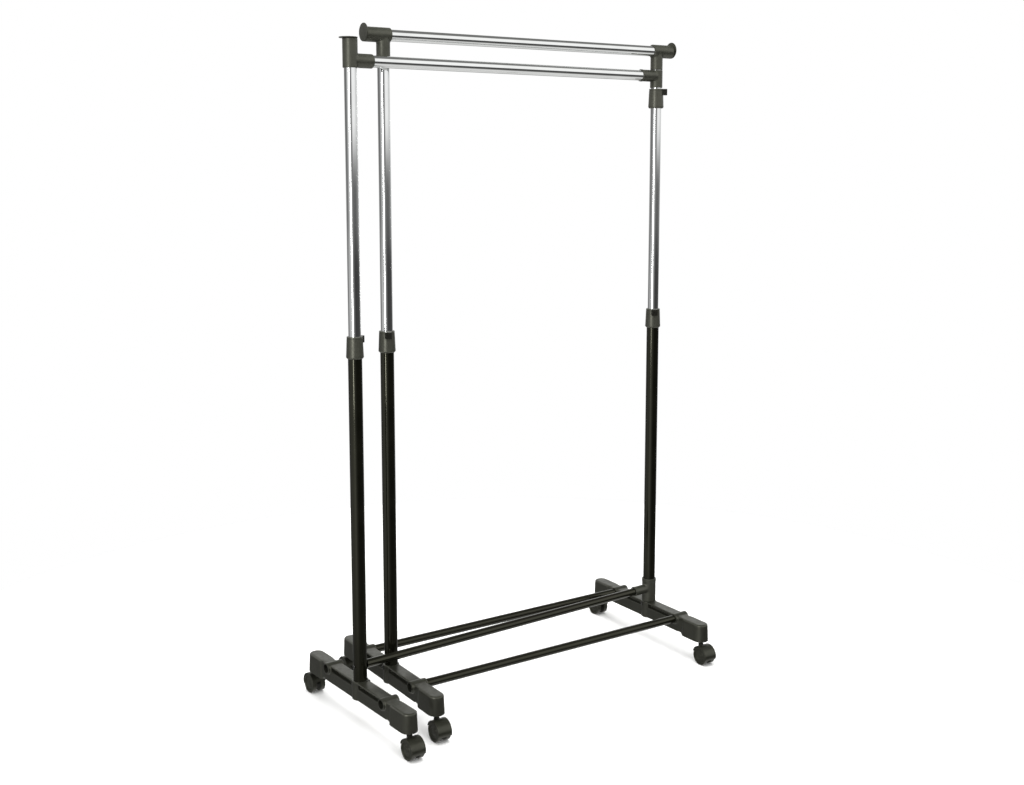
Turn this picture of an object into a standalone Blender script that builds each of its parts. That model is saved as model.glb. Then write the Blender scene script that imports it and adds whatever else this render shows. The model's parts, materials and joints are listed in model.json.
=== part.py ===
"""Rolling clothes rack with two telescopic hanging rails, one of them on a frame that swings out.

Metres, +Z up, +X along the rails, -Y the front. The rack stands on the plane z = 0 with its
bounding box centred over the origin. Design coordinates put the axis of the pivot post at
x = y = 0, and the whole assembly is moved onto the origin at the end.

Fixed frame: two feet, two shelf bars, two lower posts, and the inner gate that slides in them.
Swing arm: one foot, one lower post, one bar and its own gate, turning round the pivot post.
"""

import math

import bmesh
import bpy
from mathutils import Matrix, Vector

# ---- facets ---------------------------------------------------------------------------------
ROUND = 24  # sides of a post, rail or connector
MIDDLE = 18  # sides of a bar or a wheel
SOCKET = 14  # sides of a bar socket
SMALL = 12  # sides of a stem, an axle or a screw

# ---- overall layout -------------------------------------------------------------------------
GAP = 0.0003  # clearance between pieces that touch
FRAME_SPAN = 0.800  # pivot post axis to inner post axis
ARM_SPAN = 0.907  # pivot post axis to outer post axis
ARM_OPEN = math.radians(2.86)  # how far the swing arm stands open

# ---- tubes ----------------------------------------------------------------------------------
LOWER_POST_R = 0.0160
LOWER_POST_WALL = 0.0017
UPPER_POST_R = 0.0140
UPPER_POST_WALL = 0.0012
RAIL_R = 0.0133
RAIL_WALL = 0.0012
BAR_R = 0.0100
BAR_WALL = 0.0012
UPPER_RAIL_Z = 1.580
LOWER_RAIL_Z = 1.517
SWING_BAR_Z = 0.140
LOWER_POST_TOP = 0.8840
UPPER_POST_BOTTOM = 0.780

# ---- feet -----------------------------------------------------------------------------------
FOOT_HALF_LENGTH = 0.230
FOOT_TOP = 0.104
FOOT_BOTTOM = 0.062
PAD_BOTTOM = 0.058
PAD_HALF_WIDTH = 0.0200
BEAM_HALF_WIDTH = 0.0165
PAD_START = 0.147
PAD_STEP = 0.170
PAD_CORNER_R = 0.012
PAD_SHOULDER = 0.003  # length over which the beam widens into the pad
TOP_EDGE_R = 0.0018
BOSS_R = 0.0195
BOSS_BOTTOM = 0.0605
BOSS_TOP = 0.1055
BOSS_CHAMFER = 0.0010
POST_SEAT = 0.0700
SOCKET_Y = 0.127
SOCKET_Z = 0.0945
SOCKET_R = 0.0135
SOCKET_HALF = 0.0215
SOCKET_WEB = 0.0035
GROOVE_Y = (0.0165, 0.1105)
GROOVE_Z = (0.0915, 0.1010)
GROOVE_FLOOR = 0.0125
HOLLOW_HALF_WIDTH = 0.0095
HOLLOW_Y = (0.0240, 0.1080)
HOLLOW_TOP = 0.0985
OUTSIDE_X = 0.030  # where sideways cutters end, clear of the foot
BELOW_FOOT, ABOVE_FOOT = 0.050, 0.120  # where upright cutters end, clear of the foot

# ---- screws ---------------------------------------------------------------------------------
SCREW_ANGLE = math.radians(163)
SCREW_Z = 0.0975
SCREW_HOLE_R = 0.0023
SCREW_HOLE_START = 0.0120
SCREW_HOLE_SIDES = 8
FOOT_SCREW = (0.0045, 0.0040, 0.0020, 0.0030)  # head radius and thickness, shank radius and length
SWING_BAR_SCREW = (0.0046, 0.0028, 0.0025, 0.0400)
POST_DRILL_R = 0.0028

# ---- connectors -----------------------------------------------------------------------------
TEE_BODY_R = 0.0167
TEE_BRANCH_R = 0.0157
TEE_MOUTH = 0.0160  # branch axis to the open end of the body
TEE_BACK = 0.0475  # branch axis to the capped end of the body
TEE_REACH = 0.0540  # body axis to the end of the branch
PIVOT_TEE_REACH = 0.0475  # shorter branch of the tee above the upper pivot
CAP_R = 0.0205
CAP_OFFSET = 0.0040
CAP_THICK = 0.0025
CAP_CHAMFER = 0.0006
CAP_PLUG = 0.0080  # how far the cap's plug goes into the body
CAP_OVERLAP = 0.0010  # how far the plug runs into the disc
TEE_CHAMFER = 0.0008
POCKET_CLEARANCE = 0.0002  # between the tee's through bore and its branch's tube
RAIL_CLEARANCE = 0.0005  # between the upper rail's tee and a post's top
THROUGH = 0.080  # half length of a cutter that goes right through a connector
TUBE_STOP = 0.0380  # how far a tube runs past the branch axis, towards the cap
UPPER_PIVOT_Z = (1.4870, 1.5320)
UPPER_PIVOT_R = 0.0160
UPPER_PIVOT_BRANCH_R = 0.0149
LOWER_PIVOT_Z = (0.1058, 0.1685)
LOWER_PIVOT_R = 0.0185
LOWER_PIVOT_RING_R = 0.0192
LOWER_PIVOT_BRANCH_R = 0.0125
LOWER_PIVOT_RING_HEIGHT = 0.0090
PIVOT_REACH = 0.0560
PIVOT_CHAMFER = 0.0006
PIVOT_RING_SLOPE = 0.0004
PIVOT_BRANCH_START = 0.0020  # the branch begins this far off the axis, inside the sleeve
PIVOT_WALL = 0.0010  # sleeve left between its bore and the end of the branch's tube
PIVOT_CUT = 0.0200  # how far the bore's cutter runs past the sleeve

# ---- collars --------------------------------------------------------------------------------
COLLAR_HEIGHT = 0.050
COLLAR_TOP_R = 0.0180
COLLAR_BOTTOM_R = 0.0200
COLLAR_Z = 0.860
STOP_COLLAR_Z = 1.4345
COLLAR_FOOT = (0.0022, 0.0030)  # bottom chamfer, across and up
COLLAR_WAIST = (0.0004, 0.0100)  # where the long taper starts, in from the foot and up
COLLAR_RIM = 0.0008
COLLAR_CUT = 0.0100  # how far a cutter runs past the collar
BLOCK_REACH = 0.0285
BLOCK_HALF_WIDTH = 0.0075
BLOCK_HEIGHT = 0.0160
BLOCK_START = 0.0100  # the block's near end, buried in the collar's wall
BLOCK_DROP = 0.0004  # the block's top below the collar's top
BLOCK_LIP = 0.0015  # block left beyond the button's pocket
BUTTON_SIZE = (0.0069, 0.0095)
BUTTON_LENGTH = 0.0085
BUTTON_RECESS = 0.0008
POCKET_DEPTH = 0.0120

# ---- castors --------------------------------------------------------------------------------
WHEEL_R = 0.0232
WHEEL_X = (0.0065, 0.0175)
WHEEL_BORE_R = 0.0043
WHEEL_SHOULDER = 0.0012
WHEEL_RING = (0.0045, 0.0050)  # inner edge of the proud rim and foot of its step, in from the tread
WHEEL_DISH = 0.0012  # depth of the outer face inside the rim
WHEEL_FACE = 0.0032  # the bore's blind end, in from the outer face
AXLE_R = 0.0040
STEM_Y = 0.213
STEM_R = 0.0040
TRAIL = 0.013
WEB_HALF = 0.0060
WEB_R = (0.0090, 0.0250)
WEB_ARCS = ((200, 376), (22, 194))  # degrees about the axle, inner and outer edge
FENDER_R = (0.0244, 0.0263)
FENDER_ARC = (46, 196)
FENDER_HALF = 0.0178
NECK_R = 0.0066
NECK_BOTTOM = 0.0427
NECK_TOP = 0.0505
NECK_CUT = 0.0732
STEM_SHOULDER_R = 0.0053
STEM_SHOULDER = (0.0022, 0.0018)  # where the shoulder starts and is full, below its top
STEM_CHAMFER = 0.0010
STEM_TOP = 0.0880
STEM_BOTTOM = 0.0337

FINISHES = {
    "black_paint": ((0.005, 0.005, 0.003, 1.0), 0.12, 0.0),
    "chrome": ((0.80, 0.80, 0.80, 1.0), 0.08, 1.0),
    "grey_plastic": ((0.024, 0.025, 0.019, 1.0), 0.42, 0.0),
    "wheel_plastic": ((0.016, 0.0165, 0.012, 1.0), 0.36, 0.0),
    "dark_plastic": ((0.012, 0.012, 0.012, 1.0), 0.40, 0.0),
    "steel": ((0.08, 0.08, 0.077, 1.0), 0.34, 0.9),
}


# ---- scene and materials --------------------------------------------------------------------
def clear_scene():
    for obj in list(bpy.data.objects):
        bpy.data.objects.remove(obj, do_unlink=True)


def make_material(name, finish):
    colour, roughness, metallic = FINISHES[finish]
    mat = bpy.data.materials.new(name)
    mat.use_nodes = True
    shader = mat.node_tree.nodes["Principled BSDF"]
    shader.inputs["Base Color"].default_value = colour
    shader.inputs["Roughness"].default_value = roughness
    shader.inputs["Metallic"].default_value = metallic
    mat.diffuse_color = colour
    return mat


def empty(name, parent=None, location=(0, 0, 0), turn=0.0):
    obj = bpy.data.objects.new(name, None)
    obj.empty_display_size = 0.03
    obj.location = location
    obj.rotation_euler = (0, 0, turn)
    obj.parent = parent
    bpy.context.scene.collection.objects.link(obj)
    return obj


def add_piece(name, mesh, finish, parent, location=(0, 0, 0), rotation=(0, 0, 0)):
    """A named sub-part with its own mesh and material, placed under its parent."""
    own = mesh.copy()
    own.name = name
    own.materials.clear()
    own.materials.append(make_material(name + "_" + finish, finish))
    own.shade_smooth()
    own.set_sharp_from_angle(angle=math.radians(35))
    obj = bpy.data.objects.new(name, own)
    obj.location = location
    obj.rotation_euler = rotation
    obj.parent = parent
    bpy.context.scene.collection.objects.link(obj)
    return obj


# ---- mesh tools -----------------------------------------------------------------------------
def to_mesh(bm, name="shape"):
    bmesh.ops.recalc_face_normals(bm, faces=bm.faces)
    mesh = bpy.data.meshes.new(name)
    bm.to_mesh(mesh)
    bm.free()
    return mesh


def turned(profile, segments, closed=False):
    """Spins a profile of (radius, height) points round Z. closed joins its last point to its first."""
    bm = bmesh.new()
    verts = [bm.verts.new((r, 0, z)) for r, z in profile]
    ends = verts[1:] + (verts[:1] if closed else [])
    edges = [bm.edges.new(pair) for pair in zip(verts, ends)]
    bmesh.ops.spin(
        bm,
        geom=verts + edges,
        cent=(0, 0, 0),
        axis=(0, 0, 1),
        dvec=(0, 0, 0),
        angle=2 * math.pi,
        steps=segments,
    )
    bmesh.ops.remove_doubles(bm, verts=bm.verts, dist=1e-6)
    return to_mesh(bm)


def tube(outer, inner, low, high, segments=ROUND):
    """A tube along Z, open at both ends."""
    return turned([(inner, low), (outer, low), (outer, high), (inner, high)], segments, closed=True)


def rod(radius, low, high, segments=ROUND):
    """A plain round bar along Z."""
    return turned([(0, low), (radius, low), (radius, high), (0, high)], segments)


def extruded(outline, low, high):
    """A closed outline of (x, y) points drawn up from z = low to z = high."""
    bm = bmesh.new()
    face = bm.faces.new([bm.verts.new((x, y, low)) for x, y in outline])
    made = bmesh.ops.extrude_face_region(bm, geom=[face])
    top = [v for v in made["geom"] if isinstance(v, bmesh.types.BMVert)]
    bmesh.ops.translate(bm, verts=top, vec=(0, 0, high - low))
    return to_mesh(bm)


def block(low, high):
    """A box between two opposite corners."""
    bm = bmesh.new()
    size = [b - a for a, b in zip(low, high)]
    middle = [(a + b) / 2 for a, b in zip(low, high)]
    bmesh.ops.create_cube(bm, size=1, matrix=Matrix.Translation(middle) @ Matrix.Diagonal((*size, 1)))
    return to_mesh(bm)


def moved(mesh, matrix):
    mesh.transform(matrix)
    return mesh


def along_x(mesh):
    """Turns a shape made along +Z so that it lies along +X."""
    return moved(mesh, Matrix.Rotation(math.pi / 2, 4, "Y"))


def combined(base, others, operation):
    """The base mesh with a Boolean for each of the others, applied in turn."""
    body = bpy.data.objects.new("boolean_body", base)
    bpy.context.scene.collection.objects.link(body)
    helpers = [body]
    for index, other in enumerate(others):
        helper = bpy.data.objects.new(f"boolean_helper_{index}", other)
        helper.hide_render = True
        helper.display_type = "WIRE"
        bpy.context.scene.collection.objects.link(helper)
        helpers.append(helper)
        modifier = body.modifiers.new(f"boolean_{index}", "BOOLEAN")
        modifier.operation = operation
        modifier.solver = "EXACT"
        modifier.object = helper
    bpy.context.view_layer.update()
    graph = bpy.context.evaluated_depsgraph_get()
    result = bpy.data.meshes.new_from_object(body.evaluated_get(graph))
    for helper in helpers:
        bpy.data.objects.remove(helper, do_unlink=True)
    return tidied(result)


def tidied(mesh):
    """Joins points that a Boolean left on top of each other and drops needless ones."""
    bm = bmesh.new()
    bm.from_mesh(mesh)
    bmesh.ops.remove_doubles(bm, verts=bm.verts, dist=2e-6)
    bmesh.ops.dissolve_limit(bm, angle_limit=math.radians(0.3), verts=bm.verts, edges=bm.edges)
    bm.to_mesh(mesh)
    bm.free()
    return mesh


def joined(base, *others):
    return combined(base, others, "UNION")


def cut(base, *others):
    return combined(base, others, "DIFFERENCE")


def arc(centre, radius, start, end, steps):
    """Points on a circle, from one angle to another."""
    points = []
    for i in range(steps + 1):
        angle = start + (end - start) * i / steps
        points.append((centre[0] + radius * math.cos(angle), centre[1] + radius * math.sin(angle)))
    return points


# ---- feet -----------------------------------------------------------------------------------
def pad_outline(sign):
    """Half of one end pad's outline, from the step round the rounded end and back to the step."""
    x = PAD_HALF_WIDTH - PAD_CORNER_R
    y = FOOT_HALF_LENGTH - PAD_CORNER_R
    right = arc((x, y), PAD_CORNER_R, 0, math.pi / 2, 3)
    left = arc((-x, y), PAD_CORNER_R, math.pi / 2, math.pi, 3)
    points = [(PAD_HALF_WIDTH, PAD_STEP)] + right + left + [(-PAD_HALF_WIDTH, PAD_STEP)]
    return [(sign * px, sign * py) for px, py in points]


def foot_blank():
    """The foot's beam with its two wider, deeper end pads and softened top edges."""
    bm = bmesh.new()
    front = [bm.verts.new((x, y, FOOT_BOTTOM)) for x, y in pad_outline(-1)]
    back = [bm.verts.new((x, y, FOOT_BOTTOM)) for x, y in pad_outline(1)]
    beam_end = PAD_START - PAD_SHOULDER
    right = [(PAD_HALF_WIDTH, -PAD_START), (BEAM_HALF_WIDTH, -beam_end)]
    right += [(BEAM_HALF_WIDTH, beam_end), (PAD_HALF_WIDTH, PAD_START)]
    side_right = [bm.verts.new((x, y, FOOT_BOTTOM)) for x, y in right]
    side_left = [bm.verts.new((-x, -y, FOOT_BOTTOM)) for x, y in right]
    pads = [bm.faces.new(front), bm.faces.new(back)]
    middle = [front[-1]] + side_right + [back[0], back[-1]] + side_left + [front[0]]
    floor = pads + [bm.faces.new(middle)]
    made = bmesh.ops.extrude_face_region(bm, geom=floor, use_keep_orig=True)
    top = [v for v in made["geom"] if isinstance(v, bmesh.types.BMVert)]
    bmesh.ops.translate(bm, verts=top, vec=(0, 0, FOOT_TOP - FOOT_BOTTOM))
    top_faces = [f for f in bm.faces if all(abs(v.co.z - FOOT_TOP) < 1e-6 for v in f.verts)]
    inner = [e for e in bm.edges if len(e.link_faces) == 2 and set(e.link_faces) <= set(top_faces)]
    bmesh.ops.dissolve_edges(bm, edges=inner, use_verts=False)
    lower = bmesh.ops.extrude_discrete_faces(bm, faces=pads)
    low_verts = {v for f in lower["faces"] for v in f.verts}
    bmesh.ops.translate(bm, verts=list(low_verts), vec=(0, 0, PAD_BOTTOM - FOOT_BOTTOM))
    bmesh.ops.remove_doubles(bm, verts=bm.verts, dist=1e-6)
    rim = [e for e in bm.edges if all(abs(v.co.z - FOOT_TOP) < 1e-6 for v in e.verts)]
    bmesh.ops.bevel(bm, geom=rim, offset=TOP_EDGE_R, segments=1, profile=0.5, affect="EDGES")
    return to_mesh(bm)


def foot_grooves():
    cutters = []
    for side in (-1, 1):
        for end in (-1, 1):
            xs = sorted((side * GROOVE_FLOOR, side * OUTSIDE_X))
            ys = sorted((end * GROOVE_Y[0], end * GROOVE_Y[1]))
            cutters.append(block((xs[0], ys[0], GROOVE_Z[0]), (xs[1], ys[1], GROOVE_Z[1])))
    return cutters


def foot_holes():
    """The post socket, four bar sockets, two castor sockets, the screw hole and the hollow underside."""
    cutters = [rod(LOWER_POST_R + GAP, POST_SEAT, ABOVE_FOOT)]
    for end in (-1, 1):
        for side in (-1, 1):
            xs = sorted((side * SOCKET_WEB, side * OUTSIDE_X))
            hole = along_x(rod(BAR_R + GAP, xs[0], xs[1], SOCKET))
            cutters.append(moved(hole, Matrix.Translation((0, end * SOCKET_Y, SOCKET_Z))))
        stem = rod(STEM_R + GAP, BELOW_FOOT, STEM_TOP + GAP, SMALL)
        cutters.append(moved(stem, Matrix.Translation((0, end * STEM_Y, 0))))
        ys = sorted((end * HOLLOW_Y[0], end * HOLLOW_Y[1]))
        low = (-HOLLOW_HALF_WIDTH, ys[0], BELOW_FOOT)
        cutters.append(block(low, (HOLLOW_HALF_WIDTH, ys[1], HOLLOW_TOP)))
    screw = along_x(rod(SCREW_HOLE_R, SCREW_HOLE_START, OUTSIDE_X, SCREW_HOLE_SIDES))
    screw = moved(screw, Matrix.Rotation(SCREW_ANGLE, 4, "Z"))
    cutters.append(moved(screw, Matrix.Translation((0, 0, SCREW_Z))))
    return cutters


def foot_mesh():
    shape = foot_blank()
    boss = turned(
        [
            (0, BOSS_BOTTOM),
            (BOSS_R, BOSS_BOTTOM),
            (BOSS_R, BOSS_TOP - BOSS_CHAMFER),
            (BOSS_R - BOSS_CHAMFER, BOSS_TOP),
            (0, BOSS_TOP),
        ],
        ROUND,
    )
    rings = []
    for end in (-1, 1):
        ring = along_x(rod(SOCKET_R, -SOCKET_HALF, SOCKET_HALF, SOCKET))
        rings.append(moved(ring, Matrix.Translation((0, end * SOCKET_Y, SOCKET_Z))))
    shape = cut(shape, *foot_grooves())
    shape = joined(shape, boss, *rings)
    return cut(shape, *foot_holes())


# ---- connectors -----------------------------------------------------------------------------
def tee_mesh(body_bore, branch_bore, reach):
    """A T connector: the body lies along X with its open mouth at +X, and the branch points down."""
    soft = TEE_CHAMFER
    body = turned(
        [
            (0, -TEE_BACK),
            (TEE_BODY_R, -TEE_BACK),
            (TEE_BODY_R, TEE_MOUTH - soft),
            (TEE_BODY_R - soft, TEE_MOUTH),
            (0, TEE_MOUTH),
        ],
        ROUND,
    )
    branch = turned(
        [
            (0, -reach),
            (TEE_BRANCH_R - soft, -reach),
            (TEE_BRANCH_R, -reach + soft),
            (TEE_BRANCH_R, 0),
            (0, 0),
        ],
        ROUND,
    )
    shape = joined(along_x(body), branch)
    through = along_x(rod(body_bore, -THROUGH, THROUGH))
    pocket = rod(branch_bore, -THROUGH, -TEE_BODY_R - POCKET_CLEARANCE)
    return cut(shape, through, pocket)


def cap_mesh(bore):
    """The round end cap. Its plug lies along X about the tee body's axis, the disc sits a little higher."""
    face = -TEE_BACK - GAP
    plug = along_x(rod(bore - GAP, face - CAP_OVERLAP, -TEE_BACK + CAP_PLUG))
    edge = CAP_CHAMFER
    disc = turned(
        [
            (0, face - CAP_THICK),
            (CAP_R - edge, face - CAP_THICK),
            (CAP_R, face - CAP_THICK + edge),
            (CAP_R, face),
            (0, face),
        ],
        ROUND,
    )
    disc = moved(along_x(disc), Matrix.Translation((0, 0, CAP_OFFSET)))
    return joined(disc, plug)


def pivot_mesh(span, radius, bore, branch_z, branch_r, branch_bore, ring=None):
    """A sleeve that turns on a post, with a branch towards -X that holds a tube's end.

    ring is the height at which a thicker band starts, and that band's radius.
    """
    soft = PIVOT_CHAMFER
    profile = [(0, span[0]), (radius - soft, span[0]), (radius, span[0] + soft)]
    if ring:
        profile += [(radius, ring[0]), (ring[1], ring[0] + PIVOT_RING_SLOPE)]
        radius = ring[1]
    profile += [(radius, span[1] - soft), (radius - soft, span[1]), (0, span[1])]
    sleeve = turned(profile, ROUND)
    branch = turned(
        [
            (0, -PIVOT_REACH),
            (branch_r - soft, -PIVOT_REACH),
            (branch_r, -PIVOT_REACH + soft),
            (branch_r, -PIVOT_BRANCH_START),
            (0, -PIVOT_BRANCH_START),
        ],
        ROUND,
    )
    branch = moved(along_x(branch), Matrix.Translation((0, 0, branch_z)))
    core = rod(bore, span[0] - PIVOT_CUT, span[1] + PIVOT_CUT)
    pocket = along_x(rod(branch_bore, -THROUGH, -(radius + PIVOT_WALL)))
    pocket = moved(pocket, Matrix.Translation((0, 0, branch_z)))
    return cut(joined(sleeve, branch), core, pocket)


# ---- collars --------------------------------------------------------------------------------
def collar_mesh(lower_bore, hand):
    """A flared collar with a square lock block towards +X. hand is the side of the button's pocket."""
    top = COLLAR_HEIGHT
    body = turned(
        [
            (0, 0),
            (COLLAR_BOTTOM_R - COLLAR_FOOT[0], 0),
            (COLLAR_BOTTOM_R, COLLAR_FOOT[1]),
            (COLLAR_BOTTOM_R - COLLAR_WAIST[0], COLLAR_WAIST[1]),
            (COLLAR_TOP_R, top - COLLAR_RIM),
            (COLLAR_TOP_R - COLLAR_RIM, top),
            (0, top),
        ],
        ROUND,
    )
    high = top - BLOCK_DROP
    low = high - BLOCK_HEIGHT
    lock = block((BLOCK_START, -BLOCK_HALF_WIDTH, low), (BLOCK_REACH, BLOCK_HALF_WIDTH, high))
    upper_hole = rod(UPPER_POST_R + GAP, -COLLAR_CUT, top + COLLAR_CUT)
    lower_hole = rod(lower_bore, -COLLAR_CUT, LOWER_POST_TOP + GAP - COLLAR_Z)
    face = hand * BLOCK_HALF_WIDTH
    ys = sorted((face + hand * COLLAR_CUT, face - hand * POCKET_DEPTH))
    x, z = button_centre()
    half_x = BUTTON_SIZE[0] / 2 + GAP
    half_z = BUTTON_SIZE[1] / 2 + GAP
    pocket = block((x - half_x, ys[0], z - half_z), (x + half_x, ys[1], z + half_z))
    return cut(joined(body, lock), upper_hole, lower_hole, pocket)


def button_centre():
    """The lock button's centre in its collar: distance out from the post's axis, and height."""
    out = BLOCK_REACH - BLOCK_LIP - BUTTON_SIZE[0] / 2 - GAP
    return out, COLLAR_HEIGHT - BLOCK_DROP - BLOCK_HEIGHT / 2


def button_mesh(hand):
    """The square lock button, with its origin at the middle of its outer face."""
    half_x, half_z = BUTTON_SIZE[0] / 2, BUTTON_SIZE[1] / 2
    ys = sorted((0, -hand * BUTTON_LENGTH))
    return block((-half_x, ys[0], -half_z), (half_x, ys[1], half_z))


def add_collar(name, parent, post_x, z, azimuth, lower_bore, hand):
    """A collar and its lock button, the block turned to the given direction round the post."""
    collar = collar_mesh(lower_bore, hand)
    add_piece(name, collar, "grey_plastic", parent, (post_x, 0, z), (0, 0, azimuth))
    out, up = button_centre()
    side = hand * (BLOCK_HALF_WIDTH - BUTTON_RECESS)
    seat = Matrix.Rotation(azimuth, 4, "Z") @ Vector((out, side, up))
    place = (post_x + seat.x, seat.y, z + seat.z)
    add_piece(name + "_button", button_mesh(hand), "dark_plastic", parent, place, (0, 0, azimuth))


# ---- castors --------------------------------------------------------------------------------
def wheel_mesh():
    """One wheel, turned about X with its centre on the axle and its ringed outer face towards +X."""
    inside, outside = WHEEL_X
    profile = [
        (WHEEL_BORE_R, inside),
        (WHEEL_R, inside),
        (WHEEL_R, outside - WHEEL_SHOULDER),
        (WHEEL_R - WHEEL_SHOULDER, outside),
        (WHEEL_R - WHEEL_RING[0], outside),
        (WHEEL_R - WHEEL_RING[1], outside - WHEEL_DISH),
        (0, outside - WHEEL_DISH),
        (0, outside - WHEEL_FACE),
        (WHEEL_BORE_R, outside - WHEEL_FACE),
    ]
    bm = bmesh.new()
    bm.from_mesh(turned(profile, MIDDLE, closed=True))
    lone = [e for e in bm.edges if not e.link_faces]
    bmesh.ops.delete(bm, geom=lone, context="EDGES")
    return along_x(to_mesh(bm))


def hood_mesh():
    """The castor's hood: a web between the wheels, a fender over them, stub axles and the stem's neck.

    The axle is the X axis. The stem stands at y = TRAIL, and the fender runs over the top to y < 0.
    """
    start, end = (math.radians(angle) for angle in FENDER_ARC)
    fender = arc((0, 0), FENDER_R[1], start, end, 9) + arc((0, 0), FENDER_R[0], end, start, 9)
    inner, outer = (tuple(math.radians(angle) for angle in pair) for pair in WEB_ARCS)
    web = arc((0, 0), WEB_R[1], *outer, 8) + arc((0, 0), WEB_R[0], *inner, 6)
    shell = standing(extruded(fender, -FENDER_HALF, FENDER_HALF))
    plate = standing(extruded(web, -WEB_HALF, WEB_HALF))
    axle_end = WHEEL_X[1] - WHEEL_FACE - GAP
    axle = along_x(rod(AXLE_R, -axle_end, axle_end, SMALL))
    on_stem = Matrix.Translation((0, TRAIL, -WHEEL_R))
    neck = moved(rod(NECK_R, NECK_BOTTOM, NECK_TOP, SMALL), on_stem)
    hole = moved(rod(STEM_R + GAP, STEM_BOTTOM - GAP, NECK_CUT, SMALL), on_stem)
    return cut(joined(plate, shell, axle, neck), hole)


def standing(mesh):
    """Turns an outline drawn in XY and extruded along Z so that X becomes Y, Y becomes Z and Z becomes X."""
    return moved(mesh, Matrix(((0, 0, 1, 0), (1, 0, 0, 0), (0, 1, 0, 0), (0, 0, 0, 1))))


def stem_mesh():
    """The castor's stem, on the swivel's axis, with a shoulder under the foot."""
    shoulder = PAD_BOTTOM - GAP
    return turned(
        [
            (0, STEM_BOTTOM),
            (STEM_R, STEM_BOTTOM),
            (STEM_R, shoulder - STEM_SHOULDER[0]),
            (STEM_SHOULDER_R, shoulder - STEM_SHOULDER[1]),
            (STEM_SHOULDER_R, shoulder),
            (STEM_R, shoulder),
            (STEM_R, STEM_TOP - STEM_CHAMFER),
            (STEM_R - STEM_CHAMFER, STEM_TOP),
            (0, STEM_TOP),
        ],
        SMALL,
    )


def add_castor(name, foot_parent, foot_x, end, meshes):
    """A castor under one end of a foot. end is -1 at the front and 1 at the back, and it trails outwards."""
    stem, hood, wheel = meshes
    seat = (foot_x, end * STEM_Y, 0)
    add_piece(name + "_stem", stem, "steel", foot_parent, seat)
    swivel = empty(name + "_swivel", foot_parent, seat, 0.0 if end < 0 else math.pi)
    axle = (0, -TRAIL, WHEEL_R)
    add_piece(name + "_hood", hood, "wheel_plastic", swivel, axle)
    add_piece(name + "_wheel_a", wheel, "wheel_plastic", swivel, axle)
    add_piece(name + "_wheel_b", wheel, "wheel_plastic", swivel, axle, (0, 0, math.pi))


# ---- screws ---------------------------------------------------------------------------------
def screw_mesh(head_r, head_thick, shank_r, shank):
    """A round-headed screw along X, its head's seat at x = 0 and its shank towards -X."""
    return along_x(
        turned(
            [
                (0, -shank),
                (shank_r, -shank),
                (shank_r, 0),
                (head_r, 0),
                (head_r, head_thick * 0.55),
                (head_r * 0.72, head_thick * 0.92),
                (0, head_thick),
            ],
            SMALL,
        )
    )


def add_post_screw(name, parent, foot_x, turn):
    mesh = screw_mesh(*FOOT_SCREW)
    angle = SCREW_ANGLE + turn
    out = BOSS_R + GAP
    place = (foot_x + out * math.cos(angle), out * math.sin(angle), SCREW_Z)
    add_piece(name, mesh, "steel", parent, place, (0, 0, angle))


# ---- assembly -------------------------------------------------------------------------------
def drilled_post():
    """The outer lower post, drilled for the screw that holds the swing bar."""
    drill = along_x(rod(POST_DRILL_R, -OUTSIDE_X, OUTSIDE_X, SCREW_HOLE_SIDES))
    return cut(lower_post(), moved(drill, Matrix.Translation((0, 0, SWING_BAR_Z))))


def lower_post():
    return tube(LOWER_POST_R, LOWER_POST_R - LOWER_POST_WALL, POST_SEAT + GAP, LOWER_POST_TOP)


def upper_post(top):
    return tube(UPPER_POST_R, UPPER_POST_R - UPPER_POST_WALL, UPPER_POST_BOTTOM, top)


def level_tube(radius, wall, start, end, segments=ROUND):
    return along_x(tube(radius, radius - wall, start, end, segments))


def build_base(root, foot, castor):
    left = -FRAME_SPAN
    add_piece("inner_foot", foot, "grey_plastic", root, (left, 0, 0))
    add_piece("right_foot", foot, "grey_plastic", root)
    bar = level_tube(BAR_R, BAR_WALL, left + SOCKET_WEB + GAP, -SOCKET_WEB - GAP, MIDDLE)
    add_piece("shelf_bar_front", bar, "black_paint", root, (0, -SOCKET_Y, SOCKET_Z))
    add_piece("shelf_bar_back", bar, "black_paint", root, (0, SOCKET_Y, SOCKET_Z))
    add_piece("inner_lower_post", lower_post(), "black_paint", root, (left, 0, 0))
    add_piece("right_lower_post", lower_post(), "black_paint", root)
    bore = LOWER_POST_R + GAP
    add_collar("inner_collar", root, left, COLLAR_Z, math.radians(-110), bore, 1)
    add_collar("right_collar", root, 0, COLLAR_Z, math.radians(-119), bore, 1)
    add_post_screw("inner_foot_screw", root, left, 0)
    add_post_screw("right_foot_screw", root, 0, 0)
    for name, x in (("inner", left), ("right", 0)):
        add_castor(name + "_front", root, x, -1, castor)
        add_castor(name + "_back", root, x, 1, castor)


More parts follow.
